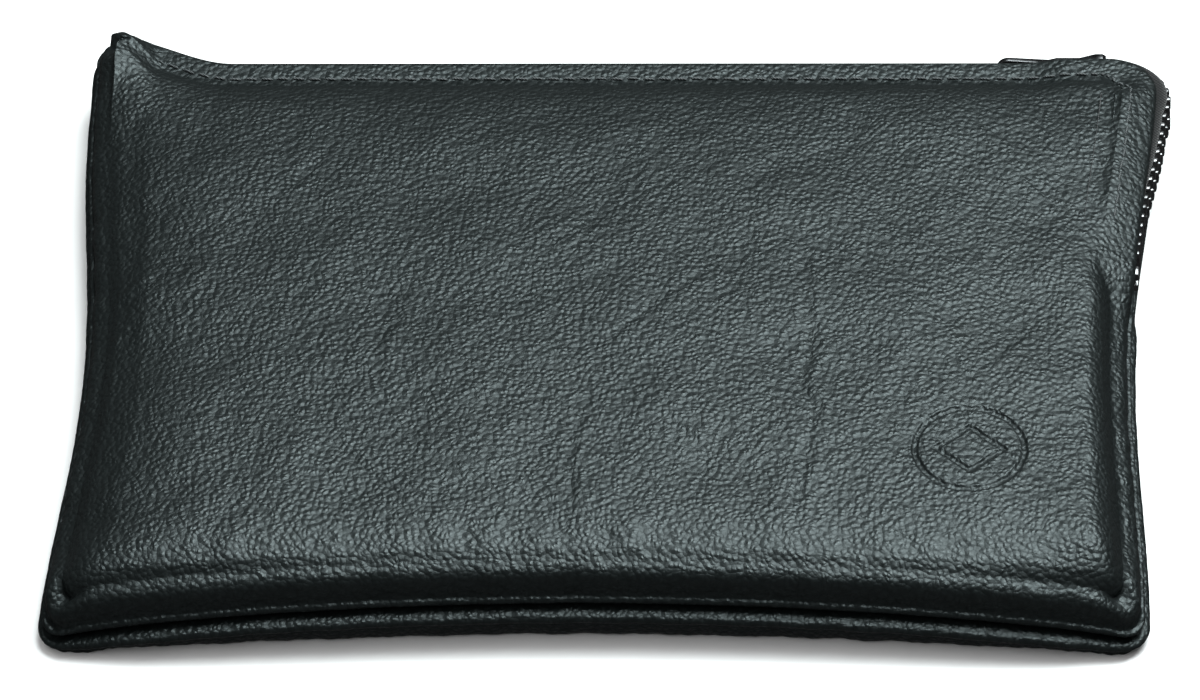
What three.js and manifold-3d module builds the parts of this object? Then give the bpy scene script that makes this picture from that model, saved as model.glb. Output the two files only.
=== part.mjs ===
// A zipped cash deposit bag, stuffed and lying on its back.
// Millimetres. +Z is up, +Y points to the zipped edge and +X to the corner that the zip turns round.
// The origin is the middle of the flat patch that the bag rests on.
//
// The two leather panels are sewn face to face on the left, at the bottom and on the lower right, then turned.
// Along the top and round the top right corner each panel ends in a hem, and a zip joins the two hems.
// Every edge of the bag is described by stations on its outline. A station carries the outline point, the
// height of the seam there and how much of the edge is zip. Leather, lining, tape, teeth and thread are all
// placed from a station by an inset (inwards from the outline) and a rise (away from the seam's mid height).

import * as THREE from "three";
import { mergeVertices } from "three/addons/utils/BufferGeometryUtils.js";
import Module from "manifold-3d";

const wasm = await Module();
wasm.setup();

// Driving dimensions
const WIDTH = 250;
const HEIGHT = 172;
const LEATHER = 1.1;
const LINING = 0.8;
const SEAM_CORNER = 6; // corner radius where leather is sewn to leather
const ZIP_CORNER = 12; // corner radius where the zip turns
const SIDE_PULL = 5; // how far the stuffed sides draw in between their corners
const RIGHT_FILL = 1.2; // how much less the right side draws in
const BOTTOM_PULL = 4;
const EAR = 9; // how far the flat top left corner stands out past the stuffed edge
const TOP_FLARE = 3.6; // how far the top right corner stands out sideways
const BOTTOM_FLARE = 1.2; // how far the bottom left corner does
const SEAM_RISE = 12; // height of the seam's middle above the table
const BOTTOM_CORNER_DROP = 8;
const TOP_CORNER_LIFT = 3; // the empty top left corner curls up
const DROP_LENGTH = 30; // how fast the seam climbs away from a corner
const DOME = 22.6; // level of the stuffed front above the table
const CROWN = 2.6; // its extra rise in the middle
const SIDE_SHOULDER = 26; // how far in the shoulders reach
const TOP_SHOULDER = 44;
const BOTTOM_SHOULDER = 30;
const BACK_SHOULDER = 5;
const SIDE_WALL = 0.7; // height of the side walls against the bottom wall
const LIP_TOP = 3; // rise of the lip above the seam, where the stuffed wall begins
const HEM = 8.5; // height of the hem above the seam's middle

// Zip
const ZIP_LEFT = -101.5; // where the closed chain begins
const ZIP_RIGHT_END = 24; // how far down the right side the chain reaches
const TOOTH_PITCH = 3;
const TOOTH_WIDTH = 1.15;
const TOOTH_HEAD = -0.5; // how far a tooth reaches past the middle of the closed chain
const TOOTH_ROOT = 1.7;
const TOOTH_BACK = 2.7;
const CHAIN_INNER = 2; // the chain's faces, outwards from the leather's edge
const CHAIN_OUTER = 4.4;
const TAPE_THICK = 0.6;
const TAPE_INNER = (CHAIN_INNER + CHAIN_OUTER - TAPE_THICK) / 2;
const TAPE_OUTER = TAPE_INNER + TAPE_THICK;
const TAPE_TURN_IN = 11; // how far the tape reaches in under the hem
const TAPE_HEM = 5.35; // the tape's lower face where it is sewn under the hem
const MOUTH_GAPE = 1.5; // how much further apart the hems stand past the slider
const ROW_SPREAD = 1.6; // how far each row leaves the middle in the slider
const SLIDER_X = 110.5;
const SLIDER_HALF = 5.75;
const SLIDER_INNER = 0.6; // the slider's faces, outwards from the leather's edge
const SLIDER_OUTER = 5.9;
const PLATE = 1.1;
const CROWN_TOP = 9;
const TAB_AXIS = { x: SLIDER_X + 2.2, out: 6.75 };
const TAB_THICK = 1.3;

const HALF_W = WIDTH / 2;
const HALF_H = HEIGHT / 2;

// Small helpers
const clamp = (value, low, high) => Math.min(high, Math.max(low, value));
const mix = (a, b, share) => a + (b - a) * share;
function smooth(value, from, to) {
  const share = clamp((value - from) / (to - from), 0, 1);
  return share * share * (3 - 2 * share);
}
const hump = (share) => (Math.abs(share) < 1 ? (1 - share * share) ** 2 : 0);
const quarterRound = (share) => Math.sqrt(1 - (1 - clamp(share, 0, 1)) ** 2);
const range = (count) => [...Array(count).keys()];

// Outline ------------------------------------------------------------------------------------------------

// Positions from -1 to 1, closer together near both ends.
function spacing(cells) {
  return range(cells + 1).map((i) => {
    const even = (2 * i) / cells - 1;
    return mix(even, Math.sin((even * Math.PI) / 2), 0.7);
  });
}

// The station at (u, v) on the border of the square from -1 to 1.
function station(u, v) {
  const onSide = Math.abs(u) === 1;
  const signU = Math.sign(u);
  const signV = Math.sign(v);
  const zipCorner = u > 0 && v > 0;
  const radius = zipCorner ? ZIP_CORNER : SEAM_CORNER;
  let x = u * HALF_W;
  let y = v * HALF_H;
  let normal = onSide ? [signU, 0] : [0, signV];
  const cornerX = (Math.abs(x) - (HALF_W - radius)) / radius;
  const cornerY = (Math.abs(y) - (HALF_H - radius)) / radius;
  if (cornerX > 0 && cornerY > 0) {
    const roundX = cornerX * Math.sqrt(1 - cornerY ** 2 / 2);
    const roundY = cornerY * Math.sqrt(1 - cornerX ** 2 / 2);
    x = signU * (HALF_W - radius + radius * roundX);
    y = signV * (HALF_H - radius + radius * roundY);
    normal = [signU * roundX, signV * roundY];
  }
  // Inset points move by this direction, which turns gradually towards a corner so that rings never cross.
  const turn = 16;
  const inwards = [
    onSide ? signU : signU * clamp((Math.abs(u) * HALF_W - HALF_W + turn) / turn, 0, 1),
    Math.abs(v) === 1 ? signV : signV * clamp((Math.abs(v) * HALF_H - HALF_H + turn) / turn, 0, 1),
  ];
  if (onSide) {
    x += u > 0 ? -(SIDE_PULL - RIGHT_FILL) * hump((v + 0.04) / 0.9) : SIDE_PULL * hump((v + 0.12) / 0.9);
  } else if (v < 0) {
    y += BOTTOM_PULL * hump(u / 0.97);
  }
  x += (TOP_FLARE * (1 + u) * (1 + v) ** 2) / 8 - (BOTTOM_FLARE * (1 - u) * (1 - v)) / 4;
  if (u < 0 && v > 0) y += EAR * (onSide ? smooth(v, 0.6, 1) : smooth(-u, 0.74, 0.97));
  const fromBottomCorner = Math.hypot(HALF_W - Math.abs(x), HALF_H + y);
  const fromTopCorner = Math.hypot(HALF_W + x, HALF_H - y);
  const zip = Math.max(
    v === 1 ? smooth(x, -HALF_W + 2, -HALF_W + 17) : 0,
    u === 1 ? smooth(y, 4, 18) : 0,
  );
  const gape = MOUTH_GAPE * (onSide && u > 0 ? smooth(y, 16, 42) : smooth(x, SLIDER_X - 14, SLIDER_X - 2));
  const down = u === 1 ? HALF_H - y : 0;
  const tuck = 2 * smooth(down, 5, 16) + 2.2 * smooth(down, 14, 48); // how far the chain sits back
  const wall = mix(1, SIDE_WALL, onSide ? smooth(v, -1, -0.7) : 0);
  const seam =
    SEAM_RISE -
    BOTTOM_CORNER_DROP * Math.exp(-fromBottomCorner / DROP_LENGTH) * (1 - zip) +
    TOP_CORNER_LIFT * Math.exp(-fromTopCorner / DROP_LENGTH) * (1 - zip);
  const lip = clamp(seam / 6, 0.55, 1); // the seam's lips are pinched at the low corners
  return { x, y, normal, inwards, seam, zip, gape: v === 1 || u === 1 ? gape : 0, lip, wall, tuck };
}

// A point at an inset and a rise from a station. side is 1 for the front and -1 for the back.
function place(at, inset, rise, side) {
  const z = at.seam + side * rise;
  if (inset < 0) {
    return new THREE.Vector3(at.x - at.normal[0] * inset, at.y - at.normal[1] * inset, z);
  }
  return new THREE.Vector3(at.x - at.inwards[0] * inset, at.y - at.inwards[1] * inset, z);
}

// The border of the square, from its lower left corner, to the right, up, back and down.
function border(us, vs) {
  return [
    ...us.slice(0, -1).map((u) => station(u, -1)),
    ...vs.slice(0, -1).map((v) => station(1, v)),
    ...us.slice(1).reverse().map((u) => station(u, 1)),
    ...vs.slice(1).reverse().map((v) => station(-1, v)),
  ];
}

// Panels and linings -----------------------------------------------------------------------------------------

// A ring round the border. Each profile point is [inset, rise] on a sewn edge and on a hemmed edge. Rises that
// scale are squeezed where the lips are pinched.
function ring(stations, side, profile) {
  const { sewn, hem, scales } = profile;
  return stations.map((at) => {
    let sewnRise = sewn[1] * (scales ? at.lip : 1);
    if (side > 0 && sewnRise > LIP_TOP) sewnRise = LIP_TOP + (sewnRise - LIP_TOP) * at.wall;
    return place(at, mix(sewn[0], hem[0], at.zip), mix(sewnRise, hem[1] + at.gape, at.zip), side);
  });
}

// Fills a ring. Each edge reaches inwards by its own weight, which is 1 on the edge itself. weights gives the
// left, right, bottom and top edge's weight at (u, v).
function fill(loop, us, vs, weights) {
  const nx = us.length - 1;
  const ny = vs.length - 1;
  const bottom = (i) => loop[i];
  const right = (j) => loop[nx + j];
  const top = (i) => loop[2 * nx + ny - i];
  const left = (j) => loop[(2 * nx + 2 * ny - j) % loop.length];
  return vs.map((v, j) => us.map((u, i) => {
    const [leftW, rightW, bottomW, topW] = weights(u, v);
    return new THREE.Vector3()
      .addScaledVector(bottom(i), bottomW)
      .addScaledVector(top(i), topW)
      .addScaledVector(left(j), leftW)
      .addScaledVector(right(j), rightW)
      .addScaledVector(loop[0], -leftW * bottomW)
      .addScaledVector(right(0), -rightW * bottomW)
      .addScaledVector(left(ny), -leftW * topW)
      .addScaledVector(right(ny), -rightW * topW);
  }));
}

const evenly = (u, v) => [(1 - u) / 2, (1 + u) / 2, (1 - v) / 2, (1 + v) / 2];

function nearEdges(u, v) {
  return [
    1 - quarterRound(((1 + u) * HALF_W) / SIDE_SHOULDER),
    1 - quarterRound(((1 - u) * HALF_W) / SIDE_SHOULDER),
    (1 - clamp(((1 + v) * HALF_H) / BOTTOM_SHOULDER, 0, 1)) ** 2,
    (1 - clamp(((1 - v) * HALF_H) / TOP_SHOULDER, 0, 1)) ** 2,
  ];
}

// The dome that stuffing gives the front: a level with rounded shoulders at the edges, and a shallow crown.
const frontShape = (level) => (loop, us, vs) => {
  const lowered = loop.map((point) => point.clone().setZ(point.z - level));
  const heights = fill(lowered, us, vs, nearEdges);
  const rows = fill(loop, us, vs, evenly);
  rows.forEach((row, j) => row.forEach((point, i) => {
    point.z = level + heights[j][i].z + CROWN * (1 - us[i] ** 2) * (1 - vs[j] ** 2);
  }));
  return rows;
};

// The back is flat at a level, with a curved border.
const backShape = (level) => (loop, us, vs) => {
  const rows = fill(loop, us, vs, evenly);
  rows.forEach((row, j) => row.forEach((point, i) => {
    const fromSide = (1 - Math.abs(us[i])) * HALF_W;
    const fromEnd = (1 - Math.abs(vs[j])) * HALF_H;
    const flat = quarterRound(fromSide / BACK_SHOULDER) * quarterRound(fromEnd / BACK_SHOULDER);
    point.z = mix(point.z, level, flat);
  }));
  return rows;
};

// Builds a mesh from points and triangles and turns it right side out.
function solidGeometry(points, triangles) {
  let volume = 0;
  for (const [a, b, c] of triangles) {
    volume += points[a].dot(new THREE.Vector3().crossVectors(points[b], points[c]));
  }
  const faces = volume < 0 ? triangles.map(([a, b, c]) => [a, c, b]) : triangles;
  const geometry = new THREE.BufferGeometry();
  geometry.setAttribute(
    "position",
    new THREE.Float32BufferAttribute(points.flatMap((p) => [p.x, p.y, p.z]), 3),
  );
  geometry.setIndex(faces.flat());
  geometry.computeVertexNormals();
  return geometry;
}

// A closed shell: an outer patch, the rings that lead round its edge, and an inner patch.
function shell(stations, us, vs, side, profiles, outerShape, innerShape) {
  const loops = profiles.map((profile) => ring(stations, side, profile));
  const nx = us.length - 1;
  const ny = vs.length - 1;
  const count = stations.length;
  const points = loops.flat();
  const triangles = [];
  const quad = (a, b, c, d) => triangles.push([a, b, c], [a, c, d]);
  for (let k = 0; k + 1 < loops.length; k += 1) {
    for (const i of range(count)) {
      const next = (i + 1) % count;
      quad(k * count + i, k * count + next, (k + 1) * count + next, (k + 1) * count + i);
    }
  }
  const close = (loopIndex, shape, flipped) => {
    const rows = shape(loops[loopIndex], us, vs);
    const index = (i, j) => {
      const base = loopIndex * count;
      if (j === 0) return base + i;
      if (i === nx) return base + nx + j;
      if (j === ny) return base + 2 * nx + ny - i;
      if (i === 0) return base + 2 * nx + 2 * ny - j;
      return rows[j][i].index;
    };
    for (let j = 1; j < ny; j += 1) {
      for (let i = 1; i < nx; i += 1) {
        rows[j][i].index = points.length;
        points.push(rows[j][i]);
      }
    }
    for (const j of range(ny)) {
      for (const i of range(nx)) {
        const corners = [index(i, j), index(i + 1, j), index(i + 1, j + 1), index(i, j + 1)];
        if (flipped) quad(...corners);
        else quad(corners[0], corners[3], corners[2], corners[1]);
      }
    }
  };
  close(0, outerShape, false);
  close(loops.length - 1, innerShape, true);
  return solidGeometry(points, triangles);
}

// A panel's edge: down the stuffed wall, round the lip, along the seam allowance and back up inside.
const frontProfiles = [
  { sewn: [5.2, 9.4], hem: [8, HEM], scales: true },
  { sewn: [3, 8.8], hem: [4, HEM + 0.2], scales: true },
  { sewn: [2, 7], hem: [1, HEM + 0.2], scales: true },
  { sewn: [1.3, 3], hem: [0.2, HEM - 0.5], scales: true },
  { sewn: [0.2, 2.6], hem: [0, HEM - 1], scales: true },
  { sewn: [0, 1.5], hem: [0.2, HEM - 1.4], scales: true },
  { sewn: [0.9, 0.5], hem: [0.8, HEM - 1.7], scales: true },
  { sewn: [3.4, 0.25], hem: [2.5, HEM - 1.9] },
  { sewn: [8, 0.25], hem: [8, HEM - 1.9] },
  { sewn: [8, 0.25 + LEATHER], hem: [8.2, HEM - LEATHER] },
  { sewn: [4, 0.25 + LEATHER], hem: [8.6, HEM - LEATHER] },
  { sewn: [2.9, 2.6], hem: [8.8, HEM - LEATHER], scales: true },
  { sewn: [3.1, 6], hem: [9, HEM - LEATHER], scales: true },
  { sewn: [4, 7.7], hem: [9.3, HEM - LEATHER], scales: true },
  { sewn: [6.2, 8.2], hem: [9.6, HEM - LEATHER], scales: true },
];

// The back panel's lip stands out a little further.
const backProfiles = [
  { sewn: [0.4, 5.6], hem: [8, HEM], scales: true },
  { sewn: [0.7, 3.9], hem: [0.6, HEM + 0.1], scales: true },
  { sewn: [-0.6, 3.4], hem: [0, HEM - 0.8], scales: true },
  { sewn: [-1.2, 2.2], hem: [0.2, HEM - 1.4], scales: true },
  { sewn: [-0.4, 0.9], hem: [0.8, HEM - 1.7], scales: true },
  { sewn: [3.4, 0.25], hem: [2.5, HEM - 1.9] },
  { sewn: [8, 0.25], hem: [8, HEM - 1.9] },
  { sewn: [8, 0.25 + LEATHER], hem: [8.2, HEM - LEATHER] },
  { sewn: [3.4, 0.25 + LEATHER], hem: [8.6, HEM - LEATHER] },
  { sewn: [2.2, 2.4], hem: [9, HEM - LEATHER], scales: true },
  { sewn: [1.6, 4.6], hem: [9.5, HEM - LEATHER], scales: true },
];

const liningProfiles = [
  { sewn: [9.6, 1.2 + LINING], hem: [13, 6.1 + LINING] },
  { sewn: [10.1, 1.2], hem: [13.6, 6.1] },
];

function makePanel(side, profiles, outerShape, innerShape, across = 16, along = 12) {
  const us = spacing(across);
  const vs = spacing(along);
  return shell(border(us, vs), us, vs, side, profiles, outerShape, innerShape);
}

// Zip --------------------------------------------------------------------------------------------------------

// The zip runs along the top and then down the right side. along is the distance from the chain's left end.
const TOP_RUN = HALF_W + TOP_FLARE - ZIP_LEFT;
const CHAIN_LENGTH = TOP_RUN + HALF_H - ZIP_RIGHT_END;

function zipStation(along) {
  const at = along <= TOP_RUN
    ? station(clamp((ZIP_LEFT + along - TOP_FLARE / 2) / (HALF_W + TOP_FLARE / 2), -1, 1), 1)
    : station(1, (HALF_H - (along - TOP_RUN)) / HALF_H);
  return { ...at, along };
}

// How far each row has left the middle of the chain.
function spread(along) {
  const x = ZIP_LEFT + along;
  if (along <= TOP_RUN) return ROW_SPREAD * smooth(x, SLIDER_X - 2.5, SLIDER_X + 4);
  return mix(0.9, ROW_SPREAD, smooth(HALF_H - (along - TOP_RUN), ZIP_RIGHT_END, 60));
}

// One row of teeth: a back that follows the tape's edge, with a tooth at each pitch.
function makeTeeth(side) {
  const first = side > 0 ? 0.4 : 0.4 + TOOTH_PITCH / 2;
  const teeth = Math.floor((CHAIN_LENGTH - first) / TOOTH_PITCH);
  const points = [];
  const triangles = [];
  const quad = (a, b, c, d) => triangles.push([a, b, c], [a, c, d]);
  // Adds the inner and outer point at a distance along the chain and a rise, and gives their indices.
  const pair = (along, rise) => {
    const at = zipStation(along);
    points.push(place(at, at.tuck - CHAIN_INNER, rise + spread(along), side));
    points.push(place(at, at.tuck - CHAIN_OUTER, rise + spread(along), side));
    return [points.length - 2, points.length - 1];
  };
  const band = (p, q) => quad(p[0], p[1], q[1], q[0]);
  let back = pair(first, TOOTH_BACK);
  let root = pair(first, TOOTH_ROOT);
  band(back, root);
  for (const k of range(teeth)) {
    const start = first + k * TOOTH_PITCH;
    const headStart = pair(start, TOOTH_HEAD);
    const headEnd = pair(start + TOOTH_WIDTH, TOOTH_HEAD);
    const rootEnd = pair(start + TOOTH_WIDTH, TOOTH_ROOT);
    const nextRoot = pair(start + TOOTH_PITCH, TOOTH_ROOT);
    const nextBack = pair(start + TOOTH_PITCH, TOOTH_BACK);
    for (const [from, to] of [[root, headStart], [headStart, headEnd], [headEnd, rootEnd], [rootEnd, nextRoot]]) {
      band(from, to);
    }
    band(nextBack, back);
    for (const face of [0, 1]) {
      const outline = [
        [back, root, rootEnd],
        [back, rootEnd, nextBack],
        [rootEnd, nextRoot, nextBack],
        [root, headStart, headEnd],
        [root, headEnd, rootEnd],
      ];
      for (const [a, b, c] of outline) {
        triangles.push(face ? [a[1], c[1], b[1]] : [a[0], b[0], c[0]]);
      }
    }
    back = nextBack;
    root = nextRoot;
  }
  band(root, back);
  return solidGeometry(points, triangles);
}

// Sweeps a closed section from station to station. section gives [outwards, rise] points, anticlockwise.
function sweep(stations, section, side) {
  const size = section(stations[0]).length;
  const points = stations.flatMap((at) => section(at).map(([out, rise]) => place(at, -out, rise, side)));
  const triangles = [];
  for (let k = 0; k + 1 < stations.length; k += 1) {
    for (const i of range(size)) {
      const next = (i + 1) % size;
      const [a, b] = [k * size + i, k * size + next];
      triangles.push([a, b, b + size], [a, b + size, a + size]);
    }
  }
  const last = (stations.length - 1) * size;
  const contour = section(stations[0]).map(([out, rise]) => new THREE.Vector2(out, rise));
  for (const [a, b, c] of THREE.ShapeUtils.triangulateShape(contour, [])) {
    triangles.push([a, c, b], [last + a, last + b, last + c]);
  }
  return solidGeometry(points, triangles);
}

// A round thread at an inset and a rise.
const threadSection = (inset, rise, radius) => (at) =>
  range(6).map((i) => {
    const angle = (i / 6) * Math.PI * 2;
    return [radius * Math.cos(angle) - inset, rise(at) + radius * Math.sin(angle)];
  });

// Stations along the zip, close together in the slider and round the corner.
function zipStations(start, end) {
  const stops = [start];
  while (stops.at(-1) < end) {
    const here = stops.at(-1);
    const fine = ZIP_LEFT + here > SLIDER_X - 12 && here < TOP_RUN + ZIP_CORNER + 4;
    stops.push(Math.min(end, here + (fine ? 2.4 : 9)));
  }
  return stops.map(zipStation);
}

// The tape runs under the hem, round to the mouth and down to the back of its row of teeth.
function makeTape(side) {
  const section = (at) => {
    const open = at.gape;
    const row = TOOTH_BACK + spread(at.along) + 0.2;
    const straight = Math.max(row + 0.9, 3.9 + spread(at.along));
    const turn = Math.max(TAPE_HEM + TAPE_THICK + open, straight + 0.5);
    return [
      [-TAPE_TURN_IN, TAPE_HEM + open],
      [-0.6 - at.tuck, TAPE_HEM + open],
      [1.6 - at.tuck, turn - TAPE_THICK],
      [TAPE_INNER - at.tuck, straight],
      [TAPE_INNER - at.tuck, row],
      [TAPE_OUTER - at.tuck, row],
      [TAPE_OUTER - at.tuck, straight + 0.2],
      [2 - at.tuck, turn],
      [-0.4 - at.tuck, turn],
      [-TAPE_TURN_IN, TAPE_HEM + TAPE_THICK + open],
    ];
  };
  return sweep(zipStations(0.4, CHAIN_LENGTH), section, side);
}

// The tape's raw end, which sticks out of the seam at the top left corner.
function makeTapeEnd(side) {
  const left = side > 0 ? -120.4 : -123.4;
  const fray = side > 0 ? [2.1, 3.2, 2.7, 3.4, 1.9] : [1.6, 2.9, 2.3, 3, 2.2];
  const stations = fray.map((out, i) => ({ ...zipStation(left - ZIP_LEFT + i * 0.9), out }));
  return sweep(stations, ({ out }) => [[-2, 0.08], [out, 0.08], [out, 0.5], [-2, 0.5]], side);
}

// A thread laid along the zipped edge, on the leather.
function makeTopstitch(side) {
  return sweep(zipStations(4, CHAIN_LENGTH - 6), threadSection(6, (at) => HEM + 0.45 + at.gape, 0.26), side);
}

// The thread that closes the sewn seams, under the back panel's seam allowance.
function makeSeamThread() {
  const all = border(spacing(16), spacing(12));
  const sewn = all.filter((at) => at.zip === 0 && (at.y < 0 || at.x < 0));
  const first = sewn.findIndex((at, i) => i > 0 && at.x < 0 && sewn[i - 1].x > 0);
  const inOrder = [...sewn.slice(first), ...sewn.slice(0, first)];
  return sweep(inOrder, threadSection(4.6, () => 0.25 + LEATHER + 0.6, 0.25), -1);
}

// Booleans ---------------------------------------------------------------------------------------------------

function toManifold(geometry) {
  const bare = geometry.clone();
  bare.deleteAttribute("normal");
  bare.deleteAttribute("uv");
  const merged = mergeVertices(bare, 1e-4);
  return new wasm.Manifold(new wasm.Mesh({
    numProp: 3,
    vertProperties: new Float32Array(merged.attributes.position.array),
    triVerts: new Uint32Array(merged.index.array),
  }));
}

function fromManifold(solid) {
  const mesh = solid.getMesh();
  const geometry = new THREE.BufferGeometry();
  geometry.setAttribute("position", new THREE.Float32BufferAttribute(mesh.vertProperties, 3));
  geometry.setIndex([...mesh.triVerts]);
  geometry.computeVertexNormals();
  return geometry;
}

// Slider, crown, lock and pull tab -----------------------------------------------------------------------------

// A flat shape in (x, rise) given a depth outwards from the leather's edge.
function plate(shape, from, to) {
  const geometry = new THREE.ExtrudeGeometry(shape, { depth: to - from, bevelEnabled: false, curveSegments: 6 });
  geometry.rotateX(Math.PI / 2);
  geometry.translate(0, HALF_H + to, SEAM_RISE);
  return geometry;
}

// A side view in (x, outwards) given a width across the chain.
function profilePlate(shape, halfWidth) {
  const geometry = new THREE.ExtrudeGeometry(shape, { depth: 2 * halfWidth, bevelEnabled: false, curveSegments: 6 });
  geometry.translate(0, HALF_H, SEAM_RISE - halfWidth);
  return geometry;
}

function polygon(points) {
  return new THREE.Shape(points.map(([x, y]) => new THREE.Vector2(x, y)));
}

// A shape with the same outline above and below the chain's middle. upper lists [x, rise] from left to right.
function mirrored(upper) {
  return [...upper.map(([x, rise]) => [x, -rise]), ...[...upper].reverse()];
}

const alongOf = (x) => x - ZIP_LEFT;

function makeSliderBody() {
  const tail = SLIDER_X - SLIDER_HALF;
  const nose = SLIDER_X + SLIDER_HALF;
  const body = polygon(mirrored([
    [tail, 2.6],
    [tail + 1, 3.75],
    [SLIDER_X - 1.5, 3.75],
    [SLIDER_X + 3.2, 5.3],
    [nose - 0.8, 5.3],
    [nose, 4.6],
  ]));
  const post = mirrored([[SLIDER_X + 2.2, 0.08], [nose - 0.9, 0.75], [nose - 0.4, 0.5]]);
  const channelStops = [-7, -2.5, -1, 0.5, 2, 3.5, 5, 7];
  const channel = polygon(mirrored(channelStops.map((dx) => {
    const x = SLIDER_X + dx;
    return [x, TOOTH_BACK + 0.25 + spread(alongOf(x))];
  })));
  const slot = polygon([[tail - 1, -7], [nose + 1, -7], [nose + 1, 7], [tail - 1, 7]]);
  for (const cut of [channel, slot]) {
    cut.holes.push(new THREE.Path(post.map(([x, y]) => new THREE.Vector2(x, y))));
  }
  const lockHole = polygon(mirrored([[SLIDER_X - 3, 0.6], [SLIDER_X - 1.6, 0.6]]));
  return fromManifold(
    toManifold(plate(body, SLIDER_INNER, SLIDER_OUTER))
      .subtract(toManifold(plate(channel, SLIDER_INNER + PLATE, SLIDER_OUTER - PLATE - 0.1)))
      .subtract(toManifold(plate(slot, TAPE_INNER - 0.4, TAPE_OUTER + 0.4)))
      .subtract(toManifold(plate(lockHole, SLIDER_OUTER - PLATE - 0.2, SLIDER_OUTER + 1))),
  );
}

function makeCrown() {
  const foot = SLIDER_OUTER + 0.05;
  const [left, right] = [SLIDER_X - 4.5, SLIDER_X + 4.7];
  return profilePlate(polygon([
    [left, foot],
    [left + 1.3, foot],
    [left + 1.3, CROWN_TOP - 0.9],
    [right - 1.3, CROWN_TOP - 0.9],
    [right - 1.3, foot],
    [right, foot],
    [right, CROWN_TOP - 1.2],
    [right - 0.5, CROWN_TOP - 0.35],
    [right - 1.5, CROWN_TOP],
    [left + 1.5, CROWN_TOP],
    [left + 0.5, CROWN_TOP - 0.35],
    [left, CROWN_TOP - 1.2],
  ]), 1.1);
}

// A leaf under the crown with a prong that drops through the plate to the teeth.
function makeLockSpring() {
  const top = CROWN_TOP - 1;
  const prong = SLIDER_X - 2.3;
  return profilePlate(polygon([
    [SLIDER_X - 3.1, top],
    [SLIDER_X - 3.1, top - 0.3],
    [prong - 0.35, top - 0.3],
    [prong - 0.2, SLIDER_OUTER - 0.9],
    [prong + 0.2, SLIDER_OUTER - 0.9],
    [prong + 0.35, top - 0.3],
    [SLIDER_X + 3.3, top - 0.3],
    [SLIDER_X + 3.3, top],
  ]), 0.45);
}

function makePullTab() {
  const end = TAB_AXIS.x + 0.6;
  const tip = TAB_AXIS.x - 22.5;
  const outline = new THREE.Shape();
  const upper = [[tip + 4.4, 2.7], [SLIDER_X - 8, 2.1], [SLIDER_X - 6, 2.7], [end - 0.6, 2.7], [end, 2.2]];
  outline.moveTo(tip + 2.8, -2.8);
  outline.absarc(tip + 2.8, 0, 2.8, -Math.PI / 2, Math.PI / 2, true);
  upper.forEach(([x, rise]) => outline.lineTo(x, rise));
  [...upper].reverse().forEach(([x, rise]) => outline.lineTo(x, -rise));
  outline.closePath();
  const slot = [
    [SLIDER_X - 5.4, -1.6],
    [TAB_AXIS.x - 0.75, -1.6],
    [TAB_AXIS.x - 0.75, 1.6],
    [SLIDER_X - 5.4, 1.6],
  ];
  outline.holes.push(new THREE.Path(slot.map(([x, y]) => new THREE.Vector2(x, y))));
  outline.holes.push(new THREE.Path().absarc(tip + 2.8, 0, 1.3, 0, Math.PI * 2));
  return plate(outline, TAB_AXIS.out - TAB_THICK / 2, TAB_AXIS.out + TAB_THICK / 2);
}

// Stops at the ends of the chain ---------------------------------------------------------------------------------

function makeBottomStop() {
  const edge = polygon(mirrored([[ZIP_LEFT - 3.2, 1.8], [ZIP_LEFT - 2.6, 2.5], [ZIP_LEFT, 2.5], [ZIP_LEFT + 0.2, 2.2]]));
  return plate(edge, CHAIN_INNER - 0.2, CHAIN_OUTER + 0.3);
}

function makeTopStop(side) {
  const section = ({ tuck }) => [
    [CHAIN_INNER - tuck - 0.1, 0.7],
    [CHAIN_OUTER - tuck + 0.2, 0.7],
    [CHAIN_OUTER - tuck + 0.2, 2.9],
    [CHAIN_INNER - tuck - 0.1, 2.9],
  ];
  return sweep([0.4, 1.8, 3.4].map((past) => zipStation(CHAIN_LENGTH + past)), section, side);
}

// Assembly -------------------------------------------------------------------------------------------------------

const leather = new THREE.MeshStandardMaterial({ color: 0x23292b, roughness: 0.5, metalness: 0 });
const liningCloth = new THREE.MeshStandardMaterial({ color: 0x2b2d2e, roughness: 0.9, metalness: 0 });
const tapeCloth = new THREE.MeshStandardMaterial({ color: 0x141617, roughness: 0.85, metalness: 0 });
const thread = new THREE.MeshStandardMaterial({ color: 0x1b1e1f, roughness: 0.7, metalness: 0 });
const teethMetal = new THREE.MeshStandardMaterial({ color: 0xb9bbba, roughness: 0.3, metalness: 1 });
const sliderMetal = new THREE.MeshStandardMaterial({ color: 0x8f9293, roughness: 0.25, metalness: 1 });

const bag = new THREE.Group();
function add(name, geometry, material) {
  const mesh = new THREE.Mesh(geometry, material);
  mesh.name = name;
  bag.add(mesh);
}

add("front_panel", makePanel(1, frontProfiles, frontShape(DOME), frontShape(DOME - LEATHER)), leather);
add("back_panel", makePanel(-1, backProfiles, backShape(0), backShape(LEATHER)), leather);
const frontLevel = DOME - LEATHER - 0.7;
const backLevel = LEATHER + 0.4;
add(
  "front_lining",
  makePanel(1, liningProfiles, frontShape(frontLevel), frontShape(frontLevel - LINING), 12, 10),
  liningCloth,
);
add(
  "back_lining",
  makePanel(-1, liningProfiles, backShape(backLevel), backShape(backLevel + LINING)),
  liningCloth,
);
for (const [word, side] of [["front", 1], ["back", -1]]) {
  add(`zip_tape_${word}`, makeTape(side), tapeCloth);
  add(`zip_tape_end_${word}`, makeTapeEnd(side), tapeCloth);
  add(`zip_teeth_${word}`, makeTeeth(side), teethMetal);
  add(`zip_top_stop_${word}`, makeTopStop(side), teethMetal);
  add(`topstitch_${word}`, makeTopstitch(side), thread);
}
add("zip_bottom_stop", makeBottomStop(), teethMetal);
add("seam_thread", makeSeamThread(), thread);
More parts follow.
